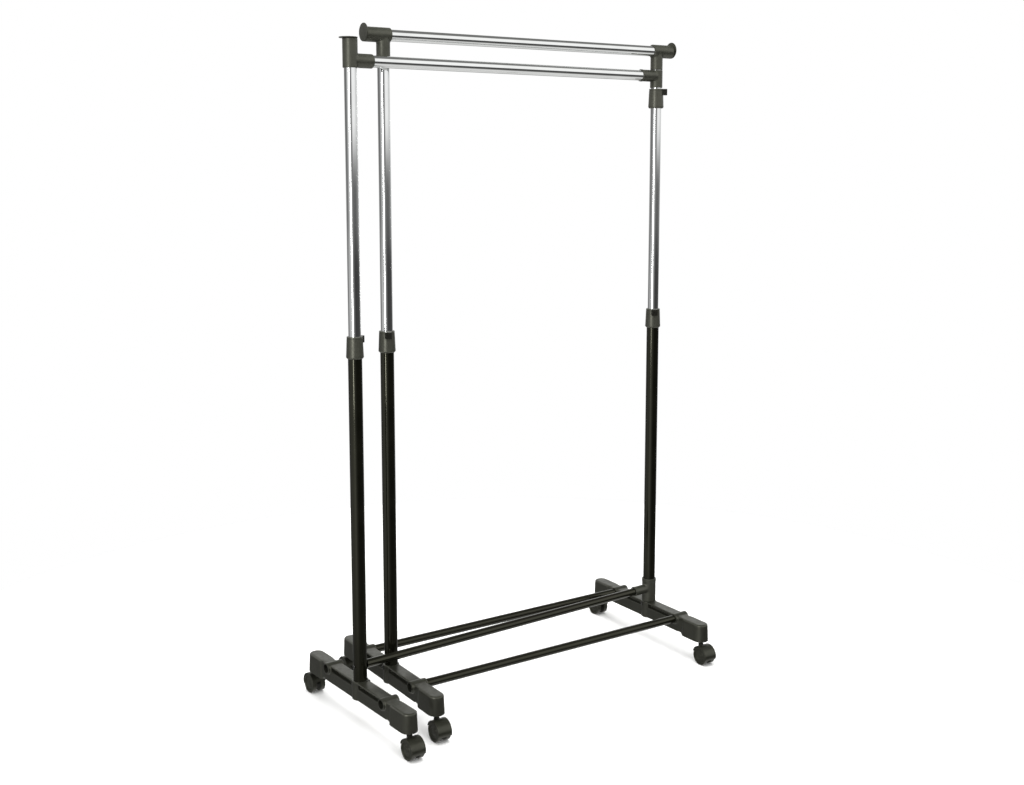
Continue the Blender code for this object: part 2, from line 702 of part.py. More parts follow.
def build_inner_gate(gate):
    left = -FRAME_SPAN
    seat = UPPER_RAIL_Z - TEE_BODY_R - RAIL_CLEARANCE
    add_piece("inner_upper_post", upper_post(seat), "chrome", gate, (left, 0, 0))
    add_piece("right_upper_post", upper_post(seat), "chrome", gate)
    rail_bore = RAIL_R + GAP
    post_bore = UPPER_POST_R + GAP
    inner_tee = tee_mesh(rail_bore, post_bore, TEE_REACH)
    right_tee = tee_mesh(rail_bore, post_bore, PIVOT_TEE_REACH)
    half_turn = (0, 0, math.pi)
    add_piece("inner_top_tee", inner_tee, "grey_plastic", gate, (left, 0, UPPER_RAIL_Z))
    add_piece("right_top_tee", right_tee, "grey_plastic", gate, (0, 0, UPPER_RAIL_Z), half_turn)
    rail = level_tube(RAIL_R, RAIL_WALL, left - TUBE_STOP, TUBE_STOP)
    add_piece("upper_rail", rail, "chrome", gate, (0, 0, UPPER_RAIL_Z))
    cap = cap_mesh(rail_bore)
    add_piece("inner_end_cap", cap, "grey_plastic", gate, (left, 0, UPPER_RAIL_Z))
    add_piece("right_end_cap", cap, "grey_plastic", gate, (0, 0, UPPER_RAIL_Z), half_turn)
    add_collar("stop_collar", gate, 0, STOP_COLLAR_Z, math.radians(-38), UPPER_POST_R + GAP, -1)


def build_arm(arm, foot, castor):
    far = -ARM_SPAN
    add_piece("outer_foot", foot, "grey_plastic", arm, (far, 0, 0), (0, 0, math.pi))
    add_piece("outer_lower_post", drilled_post(), "black_paint", arm, (far, 0, 0))
    start = far + LOWER_POST_R + GAP
    end = -(LOWER_PIVOT_RING_R + PIVOT_WALL + GAP)
    bar = level_tube(BAR_R, BAR_WALL, start, end, MIDDLE)
    add_piece("swing_bar", bar, "black_paint", arm, (0, 0, SWING_BAR_Z))
    pivot = pivot_mesh(
        LOWER_PIVOT_Z,
        LOWER_PIVOT_R,
        LOWER_POST_R + GAP,
        SWING_BAR_Z,
        LOWER_PIVOT_BRANCH_R,
        BAR_R + GAP,
        ring=(LOWER_PIVOT_Z[1] - LOWER_PIVOT_RING_HEIGHT, LOWER_PIVOT_RING_R),
    )
    add_piece("lower_pivot_tee", pivot, "grey_plastic", arm)
    screw = screw_mesh(*SWING_BAR_SCREW)
    head = (far - LOWER_POST_R - GAP, 0, SWING_BAR_Z)
    add_piece("swing_bar_screw", screw, "steel", arm, head, (0, 0, math.pi))
    add_collar("outer_collar", arm, far, COLLAR_Z, math.radians(26), LOWER_POST_R + GAP, 1)
    add_post_screw("outer_foot_screw", arm, far, math.pi)
    add_castor("outer_front", arm, far, -1, castor)
    add_castor("outer_back", arm, far, 1, castor)


def build_arm_gate(gate):
    far = -ARM_SPAN
    top = LOWER_RAIL_Z + TUBE_STOP
    add_piece("outer_upper_post", upper_post(top), "chrome", gate, (far, 0, 0))
    tee = tee_mesh(UPPER_POST_R + GAP, RAIL_R + GAP, TEE_REACH)
    cap = cap_mesh(UPPER_POST_R + GAP)
    upright = (0, math.pi / 2, math.pi)
    add_piece("outer_top_tee", tee, "grey_plastic", gate, (far, 0, LOWER_RAIL_Z), upright)
    add_piece("outer_end_cap", cap, "grey_plastic", gate, (far, 0, LOWER_RAIL_Z), upright)
    start = far + TEE_BODY_R + POCKET_CLEARANCE + GAP
    end = -(UPPER_PIVOT_R + PIVOT_WALL + GAP)
    rail = level_tube(RAIL_R, RAIL_WALL, start, end)
    add_piece("lower_rail", rail, "chrome", gate, (0, 0, LOWER_RAIL_Z))
    pivot = pivot_mesh(
        UPPER_PIVOT_Z,
        UPPER_PIVOT_R,
        UPPER_POST_R + GAP,
        LOWER_RAIL_Z,
        UPPER_PIVOT_BRANCH_R,
        RAIL_R + GAP,
    )
    add_piece("upper_pivot_tee", pivot, "grey_plastic", gate)


def stand_over_origin(root):
    """Moves the assembly so that its bounding box stands on z = 0, centred over the origin."""
    bpy.context.view_layer.update()
    low = Vector((1e9, 1e9, 1e9))
    high = -low
    for obj in bpy.data.objects:
        if obj.type != "MESH":
            continue
        for vertex in obj.data.vertices:
            point = obj.matrix_world @ vertex.co
            low = Vector(map(min, low, point))
            high = Vector(map(max, high, point))
    root.location = (-(low.x + high.x) / 2, -(low.y + high.y) / 2, -low.z)
    bpy.context.view_layer.update()


def main():
    clear_scene()
    root = empty("rack")
    gate = empty("height_slide", root)
    arm = empty("swing_arm_pivot", root, turn=ARM_OPEN)
    arm_gate = empty("arm_height_slide", arm)
    foot = foot_mesh()
    castor = (stem_mesh(), hood_mesh(), wheel_mesh())
    build_base(root, foot, castor)
    build_inner_gate(gate)
    build_arm(arm, foot, castor)
    build_arm_gate(arm_gate)
    stand_over_origin(root)


main()
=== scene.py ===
"""The looks of the rolling clothes rack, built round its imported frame.

Every shown piece is a finer version of the frame's node of the same name. Pieces are modelled
in the rack's own coordinates: the pivot post's axis is x = y = 0, +X runs along the rails, and
the swing arm has the same coordinates turned by the angle at which it stands open.
"""
import json
import math

import bmesh
import bpy
from mathutils import Matrix, Vector


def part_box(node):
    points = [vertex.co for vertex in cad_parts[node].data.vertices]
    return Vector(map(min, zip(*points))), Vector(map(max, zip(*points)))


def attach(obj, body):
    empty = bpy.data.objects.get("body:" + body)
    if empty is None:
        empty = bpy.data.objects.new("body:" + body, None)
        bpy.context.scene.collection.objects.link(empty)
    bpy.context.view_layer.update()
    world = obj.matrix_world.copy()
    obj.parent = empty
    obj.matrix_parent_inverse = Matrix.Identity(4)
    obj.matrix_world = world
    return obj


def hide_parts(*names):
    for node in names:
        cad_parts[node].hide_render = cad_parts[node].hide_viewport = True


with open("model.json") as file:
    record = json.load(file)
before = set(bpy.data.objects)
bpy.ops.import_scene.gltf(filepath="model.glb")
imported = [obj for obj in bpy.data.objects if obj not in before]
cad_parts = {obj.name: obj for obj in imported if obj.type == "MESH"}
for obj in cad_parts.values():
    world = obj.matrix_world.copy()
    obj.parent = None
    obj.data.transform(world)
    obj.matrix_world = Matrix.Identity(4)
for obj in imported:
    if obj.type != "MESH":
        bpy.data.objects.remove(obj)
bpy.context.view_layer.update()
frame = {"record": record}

# ---- sizes in metres ------------------------------------------------------------------------
# They are the frame's, apart from deeper slots in the feet and a longer fender on the castors.
GAP = 0.0003
ROUND = 96
FINE = 48
LOWER_POST_R, LOWER_POST_WALL = 0.0160, 0.0017
UPPER_POST_R, UPPER_POST_WALL = 0.0140, 0.0012
RAIL_R, RAIL_WALL = 0.0133, 0.0012
BAR_R, BAR_WALL = 0.0100, 0.0012
FOOT_HALF_LENGTH, FOOT_TOP, FOOT_BOTTOM, PAD_BOTTOM = 0.230, 0.104, 0.062, 0.058
PAD_HALF_WIDTH, BEAM_HALF_WIDTH, PAD_START, PAD_STEP = 0.0200, 0.0165, 0.147, 0.170
BOSS_R, BOSS_BOTTOM, BOSS_TOP, POST_SEAT = 0.0195, 0.0605, 0.1055, 0.0700
SOCKET_Y, SOCKET_Z, SOCKET_R, SOCKET_HALF, SOCKET_WEB = 0.127, 0.0945, 0.0135, 0.0215, 0.0035
GROOVE_Y, GROOVE_Z, GROOVE_FLOOR = (0.0165, 0.1105), (0.0905, 0.1010), 0.0045
HOLLOW_HALF_WIDTH, HOLLOW_Y, HOLLOW_TOP = 0.0095, (0.024, 0.108), 0.0880
OUTSIDE_X, BELOW_FOOT = 0.030, 0.050
SCREW_ANGLE, SCREW_Z = math.radians(163), 0.0975
TEE_BODY_R, TEE_BRANCH_R, TEE_MOUTH, TEE_BACK = 0.0167, 0.0157, 0.0160, 0.0475
TEE_REACH, PIVOT_TEE_REACH, PIVOT_REACH = 0.0540, 0.0475, 0.0560
CAP_R, CAP_OFFSET, CAP_THICK = 0.0205, 0.0040, 0.0025
UPPER_PIVOT_Z, UPPER_PIVOT_R, UPPER_PIVOT_BRANCH_R = (1.4870, 1.5320), 0.0160, 0.0149
LOWER_PIVOT_Z, LOWER_PIVOT_R, LOWER_PIVOT_BRANCH_R = (0.1058, 0.1685), 0.0185, 0.0125
LOWER_PIVOT_RING_R = 0.0192
COLLAR_HEIGHT, COLLAR_TOP_R, COLLAR_BOTTOM_R = 0.050, 0.0180, 0.0200
COLLAR_Z, STOP_COLLAR_Z, LOWER_POST_TOP = 0.860, 1.4345, 0.8840
BLOCK_REACH, BLOCK_HALF_WIDTH, BLOCK_HEIGHT, BLOCK_TOP = 0.0285, 0.0075, 0.0160, 0.0496
BUTTON_SIZE, BUTTON_LENGTH, BUTTON_RECESS, POCKET_DEPTH = (0.0069, 0.0095), 0.0085, 0.0008, 0.0120
WHEEL_R, WHEEL_X, STEM_Y, STEM_R, TRAIL = 0.0232, (0.0065, 0.0175), 0.213, 0.0040, 0.013
WEB_HALF, FENDER_R, FENDER_HALF = 0.0060, (0.0244, 0.0263), 0.0178
FENDER_ARC, FENDER_STEPS = (18, 196), 48
NECK_TOP, STEM_TOP, STEM_BOTTOM = 0.0505, 0.0880, 0.0337

# ---- places, read from the frame ------------------------------------------------------------
record = frame["record"]
BODY_OF = {n: b for b, names in record["behaviour"]["bodies"].items() for n in names}
SLOT_OF = {part["node"]: part["material_slot"] for part in record["subparts"]}


def middle(node):
    low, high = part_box(node)
    return (low + high) / 2


PIVOT = middle("right_lower_post")
INNER = middle("inner_lower_post")
OUTER = middle("outer_lower_post")
FRAME_SPAN = PIVOT.x - INNER.x
ARM_SPAN = math.hypot(PIVOT.x - OUTER.x, PIVOT.y - OUTER.y)
ARM_OPEN = math.atan2(PIVOT.y - OUTER.y, PIVOT.x - OUTER.x)
UPPER_RAIL_Z = middle("upper_rail").z
LOWER_RAIL_Z = middle("lower_rail").z
SWING_BAR_Z = middle("swing_bar").z
FIXED = Matrix.Translation((PIVOT.x, PIVOT.y, 0))
ARM = FIXED @ Matrix.Rotation(ARM_OPEN, 4, "Z")


# ---- mesh tools -----------------------------------------------------------------------------
def to_mesh(bm):
    bmesh.ops.recalc_face_normals(bm, faces=bm.faces)
    mesh = bpy.data.meshes.new("shape")
    bm.to_mesh(mesh)
    bm.free()
    return mesh


def turned(profile, segments=ROUND, closed=False):
    """Spins a profile of (radius, height) points round Z. closed joins its last point to its first."""
    bm = bmesh.new()
    verts = [bm.verts.new((r, 0, z)) for r, z in profile]
    ends = verts[1:] + (verts[:1] if closed else [])
    edges = [bm.edges.new(pair) for pair in zip(verts, ends)]
    axis = {"cent": (0, 0, 0), "axis": (0, 0, 1), "dvec": (0, 0, 0)}
    bmesh.ops.spin(bm, geom=verts + edges, angle=2 * math.pi, steps=segments, **axis)
    bmesh.ops.remove_doubles(bm, verts=bm.verts, dist=1e-6)
    return to_mesh(bm)


def arc(centre, radius, start, end, steps):
    """Points on a circle, from one angle in degrees to another."""
    points = []
    for i in range(steps + 1):
        a = math.radians(start + (end - start) * i / steps)
        points.append((centre[0] + radius * math.cos(a), centre[1] + radius * math.sin(a)))
    return points


def rod(radius, low, high, segments=ROUND, soft=0.0):
    """A round bar along Z, with rounded rims where soft is above 0."""
    if not soft:
        return turned([(0, low), (radius, low), (radius, high), (0, high)], segments)
    profile = [(0, low)] + arc((radius - soft, low + soft), soft, -90, 0, 4)
    profile += arc((radius - soft, high - soft), soft, 0, 90, 4) + [(0, high)]
    return turned(profile, segments)


def tube(outer, wall, low, high, segments=ROUND):
    """A tube along Z whose cut ends have been deburred."""
    soft = wall * 0.3
    inner = outer - wall
    profile = arc((outer - soft, low + soft), soft, -90, 0, 3)
    profile += arc((outer - soft, high - soft), soft, 0, 90, 3)
    profile += arc((inner + soft, high - soft), soft, 90, 180, 3)
    profile += arc((inner + soft, low + soft), soft, 180, 270, 3)
    return turned(profile, segments, closed=True)


def moved(mesh, matrix):
    mesh.transform(matrix)
    return mesh


def shifted(mesh, x=0.0, y=0.0, z=0.0):
    return moved(mesh, Matrix.Translation((x, y, z)))


def along_x(mesh):
    return moved(mesh, Matrix.Rotation(math.pi / 2, 4, "Y"))


def standing(mesh):
    """Turns a shape extruded along Z so that X becomes Y, Y becomes Z and Z becomes X."""
    return moved(mesh, Matrix(((0, 0, 1, 0), (1, 0, 0, 0), (0, 1, 0, 0), (0, 0, 0, 1))))


def extruded(outline, low, high):
    bm = bmesh.new()
    face = bm.faces.new([bm.verts.new((x, y, low)) for x, y in outline])
    made = bmesh.ops.extrude_face_region(bm, geom=[face])
    top = [v for v in made["geom"] if isinstance(v, bmesh.types.BMVert)]
    bmesh.ops.translate(bm, verts=top, vec=(0, 0, high - low))
    return to_mesh(bm)


def block(low, high, soft=0.0):
    """A box between two opposite corners, with rounded edges where soft is above 0."""
    bm = bmesh.new()
    size = [b - a for a, b in zip(low, high)]
    centre = [(a + b) / 2 for a, b in zip(low, high)]
    bmesh.ops.create_cube(bm, size=1, matrix=Matrix.Translation(centre) @ Matrix.Diagonal((*size, 1)))
    if soft:
        bmesh.ops.bevel(bm, geom=bm.edges[:], offset=soft, segments=3, profile=0.5, affect="EDGES")
    return to_mesh(bm)


def evaluated(mesh, add_modifiers):
    """The mesh with the modifiers that add_modifiers puts on an object that holds it."""
    body = bpy.data.objects.new("helper", mesh)
    bpy.context.scene.collection.objects.link(body)
    helpers = [body] + (add_modifiers(body) or [])
    bpy.context.view_layer.update()
    graph = bpy.context.evaluated_depsgraph_get()
    result = bpy.data.meshes.new_from_object(body.evaluated_get(graph))
    for helper in helpers:
        bpy.data.objects.remove(helper, do_unlink=True)
    return result


def combined(base, others, operation):
    def add(body):
        helpers = []
        for other in others:
            helper = bpy.data.objects.new("helper", other)
            bpy.context.scene.collection.objects.link(helper)
            helpers.append(helper)
            modifier = body.modifiers.new("boolean", "BOOLEAN")
            modifier.operation, modifier.solver, modifier.object = operation, "EXACT", helper
        return helpers

    return evaluated(base, add)


def joined(base, *others):
    return combined(base, others, "UNION")


def cut(base, *others):
    return combined(base, others, "DIFFERENCE")


def moulded(mesh, voxel, rounds):
    """The mesh with its corners and inner angles softened, as a moulding has them."""
    def add(body):
        remesh = body.modifiers.new("remesh", "REMESH")
        remesh.mode, remesh.voxel_size = "VOXEL", voxel
        smooth = body.modifiers.new("smooth", "SMOOTH")
        smooth.factor, smooth.iterations = 0.5, rounds

    return evaluated(mesh, add)


def filleted(mesh, near, rounds):
    """Softens only the points for which near is true, to leave a fillet where two tubes meet."""
    bm = bmesh.new()
    bm.from_mesh(mesh)
    chosen = [v for v in bm.verts if near(v.co)]
    axes = {"use_axis_x": True, "use_axis_y": True, "use_axis_z": True}
    for _ in range(rounds):
        bmesh.ops.smooth_vert(bm, verts=chosen, factor=0.5, **axes)
    return to_mesh(bm)


# ---- materials ------------------------------------------------------------------------------
class Surface:
    """A material whose colour, roughness and bump come from procedural nodes."""

    def __init__(self, name, metallic=0.0, specular=0.5):
        self.mat = bpy.data.materials.new(name)
        self.mat.use_nodes = True
        self.tree = self.mat.node_tree
        self.shader = self.tree.nodes["Principled BSDF"]
        self.shader.inputs["Metallic"].default_value = metallic
        self.shader.inputs["Specular IOR Level"].default_value = specular
        self.where = self.tree.nodes.new("ShaderNodeTexCoord").outputs["Object"]

    def stretched(self, scale):
        mapping = self.tree.nodes.new("ShaderNodeMapping")
        mapping.inputs["Scale"].default_value = scale
        self.tree.links.new(self.where, mapping.inputs["Vector"])
        return mapping.outputs["Vector"]

    def noise(self, scale, detail=2.0, vector=None):
        node = self.tree.nodes.new("ShaderNodeTexNoise")
        node.inputs["Scale"].default_value = scale
        node.inputs["Detail"].default_value = detail
        self.tree.links.new(vector or self.where, node.inputs["Vector"])
        return node.outputs["Fac"]

    def colours(self, factor, dark, light):
        ramp = self.tree.nodes.new("ShaderNodeValToRGB")
        ramp.color_ramp.elements[0].position, ramp.color_ramp.elements[1].position = 0.32, 0.68
        ramp.color_ramp.elements[0].color = (*dark, 1)
        ramp.color_ramp.elements[1].color = (*light, 1)
        self.tree.links.new(factor, ramp.inputs["Fac"])
        self.tree.links.new(ramp.outputs["Color"], self.shader.inputs["Base Color"])

    def roughness(self, factor, low, high):
        spread = self.tree.nodes.new("ShaderNodeMapRange")
        spread.inputs["From Min"].default_value, spread.inputs["From Max"].default_value = 0.3, 0.7
        spread.inputs["To Min"].default_value, spread.inputs["To Max"].default_value = low, high
        self.tree.links.new(factor, spread.inputs["Value"])
        self.tree.links.new(spread.outputs["Result"], self.shader.inputs["Roughness"])

    def bump(self, *layers):
        """Each layer is (height, depth in metres, strength)."""
        normal = None
        for height, depth, strength in layers:
            node = self.tree.nodes.new("ShaderNodeBump")
            node.inputs["Distance"].default_value = depth
            node.inputs["Strength"].default_value = strength
            self.tree.links.new(height, node.inputs["Height"])
            if normal:
                self.tree.links.new(normal, node.inputs["Normal"])
            normal = node.outputs["Normal"]
        self.tree.links.new(normal, self.shader.inputs["Normal"])


def plastic(name, dark, light, rough, grain, specular=0.6):
    """Moulded plastic: a fine spark-eroded grain, faint flow marks and patchy sheen."""
    s = Surface(name, specular=specular)
    s.colours(s.noise(38.0, 5.0), dark, light)
    s.roughness(s.noise(110.0, 3.0), *rough)
    s.bump((s.noise(1500.0, 3.0), 0.00012, grain), (s.noise(60.0, 2.0), 0.00020, 0.18))
    s.shader.inputs["Specular Tint"].default_value = (1.0, 1.0, 0.84, 1)
    return s.mat


def gloss_paint(name):
    """Black enamel on tube: a glossy skin with slight orange peel and faint rub marks."""
    s = Surface(name)
    s.colours(s.noise(24.0, 4.0), (0.0024, 0.0024, 0.0014), (0.0048, 0.0047, 0.0030))
    s.roughness(s.noise(70.0, 4.0, s.stretched((1, 1, 0.12))), 0.07, 0.14)
    s.bump((s.noise(420.0, 2.0), 0.00004, 0.16), (s.noise(55.0, 1.0), 0.00008, 0.08))
    s.shader.inputs["Specular Tint"].default_value = (1.0, 1.0, 0.76, 1)
    return s.mat


def chrome(name):
    """Bright plating over drawn tube: faint lines along its length and a slight haze."""
    s = Surface(name, metallic=1.0)
    s.colours(s.noise(16.0, 4.0), (0.76, 0.77, 0.765), (0.82, 0.83, 0.825))
    s.roughness(s.noise(130.0, 4.0, s.stretched((1, 1, 0.04))), 0.045, 0.065)
    drawn = s.noise(260.0, 1.0, s.stretched((1, 1, 0.01)))
    s.bump((drawn, 0.000005, 0.10), (s.noise(24.0), 0.00003, 0.04))
    return s.mat


def dark_steel(name):
    """Blackened steel with turning marks and a little bare metal showing through."""
    s = Surface(name, metallic=0.9)
    s.colours(s.noise(600.0, 4.0), (0.035, 0.035, 0.033), (0.11, 0.11, 0.105))
    s.roughness(s.noise(900.0, 2.0), 0.26, 0.42)
    s.bump((s.noise(1200.0, 2.0, s.stretched((1, 1, 6.0))), 0.00004, 0.30))
    return s.mat


GREY = ((0.0140, 0.0148, 0.0108), (0.0205, 0.0214, 0.0165))
HOOD = ((0.0095, 0.0100, 0.0068), (0.0145, 0.0150, 0.0108))
# The feet's grey is the tee grey darkened by about a quarter: painted shade, standing for the lesser light
# the feet get down by the floor.
FOOT_SHADED_GREY = ((0.0105, 0.0110, 0.0080), (0.0150, 0.0156, 0.0120))
BLACK = ((0.0030, 0.0030, 0.0024), (0.0055, 0.0055, 0.0046))
MATERIALS = {
    "foot_plastic": plastic("foot_plastic", *FOOT_SHADED_GREY, (0.30, 0.43), 0.45, 0.8),
    "tee_plastic": plastic("tee_plastic", *GREY, (0.38, 0.50), 0.40, 0.9),
    "pivot_plastic": plastic("pivot_plastic", *GREY, (0.38, 0.50), 0.40, 0.9),
    "cap_plastic": plastic("cap_plastic", *GREY, (0.42, 0.55), 0.55),
    "collar_plastic": plastic("collar_plastic", *GREY, (0.33, 0.44), 0.40, 1.0),
    "hood_plastic": plastic("hood_plastic", *HOOD, (0.28, 0.40), 0.25),
    "wheel_plastic": plastic("wheel_plastic", *HOOD, (0.34, 0.48), 0.35),
    "button_plastic": plastic("button_plastic", *BLACK, (0.34, 0.46), 0.25, 0.35),
    "lower_post_paint": gloss_paint("lower_post_paint"),
    "bar_paint": gloss_paint("bar_paint"),
    "upper_post_chrome": chrome("upper_post_chrome"),
    "rail_chrome": chrome("rail_chrome"),
    "stem_steel": dark_steel("stem_steel"),
    "screw_steel": dark_steel("screw_steel"),
}


FINISHED = {}


def finished(mesh, material):
    """The mesh with its material, shaded smooth with normals that follow its large faces."""
    key = (mesh.name, material.name)
    if key not in FINISHED:
        mesh.shade_smooth()
        mesh.set_sharp_from_angle(angle=math.radians(38))

        def add(body):
            body.modifiers.new("normals", "WEIGHTED_NORMAL").keep_sharp = True

        FINISHED[key] = evaluated(mesh, add)
        FINISHED[key].materials.clear()
        FINISHED[key].materials.append(material)
    return FINISHED[key]


def show(node, mesh, place):
    """Shows this mesh in place of a node of the frame, and moves it with that node's body."""
    piece = bpy.data.objects.new(node + "_shown", finished(mesh, MATERIALS[SLOT_OF[node]]))
    bpy.context.scene.collection.objects.link(piece)
    piece.matrix_world = place
    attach(piece, BODY_OF[node])
    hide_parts(node)
    return piece


# ---- feet -----------------------------------------------------------------------------------
def foot_section(half_width, half_length, corner, low, high, draft, crown):
    """A drafted slab with rounded ends, wider at its foot, its top rim rounded by crown."""
    bm = bmesh.new()
    rings = [(low, 0.0), (high - crown, draft)]
    for i in range(1, 5):
        a = math.radians(90 * i / 4)
        rings.append((high - crown + crown * math.sin(a), draft + crown * (1 - math.cos(a))))
    loops = []
    for z, inset in rings:
        x, y, r = half_width - corner, half_length - corner, corner - inset
        points = arc((x, y), r, 0, 90, 8) + arc((-x, y), r, 90, 180, 8)
        points += arc((-x, -y), r, 180, 270, 8) + arc((x, -y), r, 270, 360, 8)
        loops.append([bm.verts.new((px, py, z)) for px, py in points])
    for lower, upper in zip(loops, loops[1:]):
        for i in range(len(lower)):
            j = (i + 1) % len(lower)
            bm.faces.new((lower[i], lower[j], upper[j], upper[i]))
    bm.faces.new(loops[0][::-1])
    bm.faces.new(loops[-1])
    return to_mesh(bm)


def foot_mesh():
    """A beam with a wider pad at each end, a boss for the post, bar sockets and long side slots."""
    beam_length = PAD_STEP + 0.020
    beam = foot_section(BEAM_HALF_WIDTH, beam_length, 0.010, FOOT_BOTTOM, FOOT_TOP, 0.0006, 0.0020)
    pad_half = (FOOT_HALF_LENGTH - PAD_START) / 2
    additions = []
    for end in (-1, 1):
        pad = foot_section(PAD_HALF_WIDTH, pad_half, 0.0192, PAD_BOTTOM, FOOT_TOP, 0.0016, 0.0048)
        additions.append(shifted(pad, y=end * (PAD_START + pad_half)))
        ring = along_x(rod(SOCKET_R, -SOCKET_HALF, SOCKET_HALF, FINE, 0.0010))
        additions.append(shifted(ring, y=end * SOCKET_Y, z=SOCKET_Z))
    additions.append(rod(BOSS_R, BOSS_BOTTOM, BOSS_TOP, ROUND, 0.0016))
    grooves = []
    for side in (-1, 1):
        for end in (-1, 1):
            xs = sorted((side * GROOVE_FLOOR, side * OUTSIDE_X))
            ys = sorted((end * GROOVE_Y[0], end * GROOVE_Y[1]))
            grooves.append(block((xs[0], ys[0], GROOVE_Z[0]), (xs[1], ys[1], GROOVE_Z[1])))
    shape = moulded(joined(cut(beam, *grooves), *additions), 0.0011, 3)
    shape = filleted(shape, lambda p: abs(abs(p.y) - PAD_START) < 0.0070, 30)
    return cut(shape, *foot_holes())


def foot_holes():
    """The post socket, the bar and castor sockets, the screw hole and the hollow underside."""
    cutters = [rod(LOWER_POST_R + GAP, POST_SEAT, 0.120)]
    for end in (-1, 1):
        for side in (-1, 1):
            xs = sorted((side * SOCKET_WEB, side * OUTSIDE_X))
            hole = along_x(rod(BAR_R + GAP, *xs, FINE))
            cutters.append(shifted(hole, y=end * SOCKET_Y, z=SOCKET_Z))
        stem_hole = rod(STEM_R + GAP, BELOW_FOOT, STEM_TOP + GAP, 32)
        cutters.append(shifted(stem_hole, y=end * STEM_Y))
        ys = sorted((end * HOLLOW_Y[0], end * HOLLOW_Y[1]))
        low = (-HOLLOW_HALF_WIDTH, ys[0], BELOW_FOOT)
        cutters.append(block(low, (HOLLOW_HALF_WIDTH, ys[1], HOLLOW_TOP)))
    screw = moved(along_x(rod(0.0023, 0.012, 0.030, 16)), Matrix.Rotation(SCREW_ANGLE, 4, "Z"))
    cutters.append(shifted(screw, z=SCREW_Z))
    return cutters


# ---- connectors -----------------------------------------------------------------------------
def tee_mesh(body_bore, branch_bore, reach):
    """A T connector: body along X with its mouth at +X, branch pointing down, filleted between."""
    body = along_x(rod(TEE_BODY_R, -TEE_BACK, TEE_MOUTH, ROUND, 0.0010))
    branch = rod(TEE_BRANCH_R, -reach, 0, ROUND, 0.0008)
    shape = moulded(joined(body, branch), 0.0007, 3)

    def junction(p):
        off_body = math.hypot(p.y, p.z) - TEE_BODY_R
        off_branch = math.hypot(p.x, p.y) - TEE_BRANCH_R
        return p.z < 0 and abs(off_body) < 0.0042 and abs(off_branch) < 0.0042 and p.z > -0.0225

    shape = filleted(shape, junction, 24)
    through = along_x(rod(body_bore, -0.080, 0.080))
    pocket = rod(branch_bore, -0.090, -TEE_BODY_R - 0.0002)
    return cut(shape, through, pocket)


def cap_mesh(bore):
    """An end cap: a thin, very slightly domed disc set a little above the body, and its plug."""
    face = -TEE_BACK - GAP
    dome, rim = 0.0003, 0.0007
    profile = [(0, face - CAP_THICK), (CAP_R * 0.55, face - CAP_THICK + dome * 0.25)]
    profile += arc((CAP_R - rim, face - CAP_THICK + dome + rim), rim, -90, 0, 5)
    profile += arc((CAP_R - rim, face - rim), rim, 0, 90, 4) + [(0, face)]
    disc = shifted(along_x(turned(profile)), z=CAP_OFFSET)
    plug = along_x(rod(bore - GAP, face - 0.001, -TEE_BACK + 0.008))
    return joined(disc, plug)


def pivot_mesh(span, radius, bore, branch_z, branch_r, branch_bore, ring_r=None):
    """A sleeve that turns on a post, with a branch towards -X that holds a tube's end."""
    sleeve = rod(radius, span[0], span[1], ROUND, 0.0008)
    if ring_r:
        sleeve = joined(sleeve, rod(ring_r, span[1] - 0.0090, span[1], ROUND, 0.0006))
    branch = along_x(rod(branch_r, -PIVOT_REACH, -0.002, ROUND, 0.0009))
    lip = along_x(rod(branch_r + 0.0006, -PIVOT_REACH, -PIVOT_REACH + 0.0055, ROUND, 0.0005))
    shape = joined(sleeve, shifted(branch, z=branch_z), shifted(lip, z=branch_z))
    shape = moulded(shape, 0.0007, 3)

    def junction(p):
        off_sleeve = math.hypot(p.x, p.y) - radius
        off_branch = math.hypot(p.y, p.z - branch_z) - branch_r
        inside = span[0] + 0.002 < p.z < span[1] - 0.002
        return inside and p.x < 0 and abs(off_sleeve) < 0.0045 and abs(off_branch) < 0.0045

    shape = filleted(shape, junction, 24)
    core = rod(bore, span[0] - 0.02, span[1] + 0.02)
    pocket = along_x(rod(branch_bore, -0.080, -((ring_r or radius) + 0.0010)))
    return cut(shape, core, shifted(pocket, z=branch_z))


# ---- collars --------------------------------------------------------------------------------
def button_centre():
    """The lock button's centre in its collar: distance out from the post's axis, and height."""
    return BLOCK_REACH - 0.0015 - BUTTON_SIZE[0] / 2 - GAP, BLOCK_TOP - BLOCK_HEIGHT / 2


